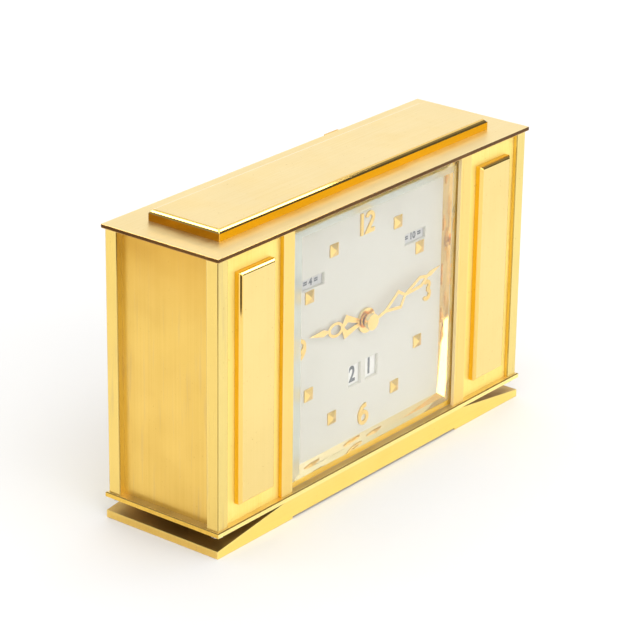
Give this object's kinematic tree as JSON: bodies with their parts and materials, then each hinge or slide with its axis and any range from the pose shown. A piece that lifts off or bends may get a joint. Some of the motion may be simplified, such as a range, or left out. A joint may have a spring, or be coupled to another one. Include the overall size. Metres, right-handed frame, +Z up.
{
  "type": "desk clock",
  "caption": "gilt brass desk clock with a square bevelled glass, white dial with day, month and date windows, side panels with raised bars, sloped foot and rear service door",
  "frame": {"origin": "centre of the footprint on the table", "axes": "+X to the right seen from the front, +Y to the back, +Z up; the dial faces -Y"},
  "size_m": [0.178, 0.053, 0.1133],
  "materials": {
    "gilt_case": "polished gilt brass with fine brush marks, lacquered, slightly worn at the edges",
    "polished_reveal": "mirror-polished gilt brass",
    "clear_glass": "clear plate glass with a wide polished bevel, faintly green at its edges",
    "dial_enamel": "satin warm white enamel",
    "gilt_marks": "polished gilt",
    "gilt_hands": "polished gilt",
    "calendar_silver": "fine satin silver grey",
    "movement_brass": "satin brass",
    "steel": "fine ground steel"
  },
  "bodies": {
    "case": {"top_plate": "gilt_case", "crown_block": "gilt_case", "bottom_plate": "gilt_case", "foot_plate": "gilt_case", "corner_post_front_left": "gilt_case", "corner_post_front_right": "gilt_case", "corner_post_rear_left": "gilt_case", "corner_post_rear_right": "gilt_case", "front_stile_left": "gilt_case", "front_stile_right": "gilt_case", "rear_stile_left": "gilt_case", "rear_stile_right": "gilt_case", "front_panel_left": "gilt_case", "front_panel_right": "gilt_case", "raised_bar_left": "gilt_case", "raised_bar_right": "gilt_case", "side_panel_left": "gilt_case", "side_panel_right": "gilt_case", "rear_panel_left": "gilt_case", "rear_panel_right": "gilt_case", "reveal_bottom": "polished_reveal", "reveal_right": "polished_reveal", "reveal_top": "polished_reveal", "reveal_left": "polished_reveal", "dial_glass": "clear_glass", "dial_plate": "dial_enamel", "hour_numerals": "gilt_marks", "hour_studs": "gilt_marks", "front_movement_plate": "movement_brass", "rear_movement_plate": "movement_brass", "movement_pillars": "movement_brass", "movement_clamps": "movement_brass", "calendar_bushes": "movement_brass", "balance_cock": "movement_brass", "door_hinge_rod": "steel", "case_screws": "steel", "clamp_screws": "steel"},
    "minute_train": {"minute_hand": "gilt_hands", "cannon_pinion": "movement_brass", "centre_wheel": "movement_brass", "set_knob": "movement_brass"},
    "hour_train": {"hour_hand": "gilt_hands", "hour_wheel": "movement_brass"},
    "motion_train": {"motion_wheel": "movement_brass"},
    "intermediate_train": {"intermediate_wheel": "movement_brass"},
    "third_train": {"third_wheel": "movement_brass"},
    "barrel": {"mainspring_barrel": "movement_brass", "mainspring": "steel"},
    "winder": {"winding_arbor": "steel", "winding_key": "movement_brass"},
    "day_indicator": {"day_disc": "calendar_silver", "day_setter": "movement_brass"},
    "month_indicator": {"month_disc": "calendar_silver", "month_setter": "movement_brass"},
    "date_tens_indicator": {"date_tens_disc": "calendar_silver", "date_tens_setter": "movement_brass"},
    "date_units_indicator": {"date_units_disc": "calendar_silver", "date_units_setter": "movement_brass"},
    "balance": {"balance_wheel": "movement_brass"},
    "door": {"rear_door": "gilt_case"}
  },
  "joints": [
    {"name": "minute_turn", "type": "hinge", "parent": "case", "child": "minute_train", "pos_m": [0, 0, 0.0582], "axis": [0, 1, 0], "continuous": true},
    {"name": "hour_turn", "type": "hinge", "parent": "case", "child": "hour_train", "pos_m": [0, 0, 0.0582], "axis": [0, 1, 0], "continuous": true},
    {"name": "motion_turn", "type": "hinge", "parent": "case", "child": "motion_train", "pos_m": [0, 0, 0.0642], "axis": [0, 1, 0], "continuous": true},
    {"name": "intermediate_turn", "type": "hinge", "parent": "case", "child": "intermediate_train", "pos_m": [-0.00758, 0, 0.04814], "axis": [0, 1, 0], "continuous": true},
    {"name": "third_turn", "type": "hinge", "parent": "case", "child": "third_train", "pos_m": [0.006, 0, 0.06645], "axis": [0, 1, 0], "continuous": true},
    {"name": "barrel_turn", "type": "hinge", "parent": "case", "child": "barrel", "pos_m": [-0.00001, 0, 0.03554], "axis": [0, 1, 0], "continuous": true},
    {"name": "winding_turn", "type": "hinge", "parent": "case", "child": "winder", "pos_m": [-0.00001, 0, 0.03554], "axis": [0, 1, 0], "range_deg": [0, 1800]},
    {"name": "day_set", "type": "hinge", "parent": "case", "child": "day_indicator", "pos_m": [-0.0445, 0, 0.0813], "axis": [0, 1, 0], "continuous": true},
    {"name": "month_set", "type": "hinge", "parent": "case", "child": "month_indicator", "pos_m": [0.0445, 0, 0.0813], "axis": [0, 1, 0], "continuous": true},
    {"name": "date_tens_set", "type": "hinge", "parent": "case", "child": "date_tens_indicator", "pos_m": [-0.0249, 0, 0.0384], "axis": [0, 1, 0], "continuous": true},
    {"name": "date_units_set", "type": "hinge", "parent": "case", "child": "date_units_indicator", "pos_m": [0.0249, 0, 0.0384], "axis": [0, 1, 0], "continuous": true},
    {"name": "balance_swing", "type": "hinge", "parent": "case", "child": "balance", "pos_m": [0, 0, 0.08], "axis": [0, 1, 0], "range_deg": [-270, 270]},
    {"name": "door_open", "type": "hinge", "parent": "case", "child": "door", "pos_m": [-0.0474, 0.0233, 0], "axis": [0, 0, 1], "range_deg": [0, 110]}
  ],
  "couplings": [
    {"joint": "hour_turn", "follows": "minute_turn", "ratio": 0.083333},
    {"joint": "motion_turn", "follows": "minute_turn", "ratio": -0.33333},
    {"joint": "intermediate_turn", "follows": "minute_turn", "ratio": -0.16667},
    {"joint": "barrel_turn", "follows": "minute_turn", "ratio": 0.027778},
    {"joint": "third_turn", "follows": "minute_turn", "ratio": -7.5}
  ]
}
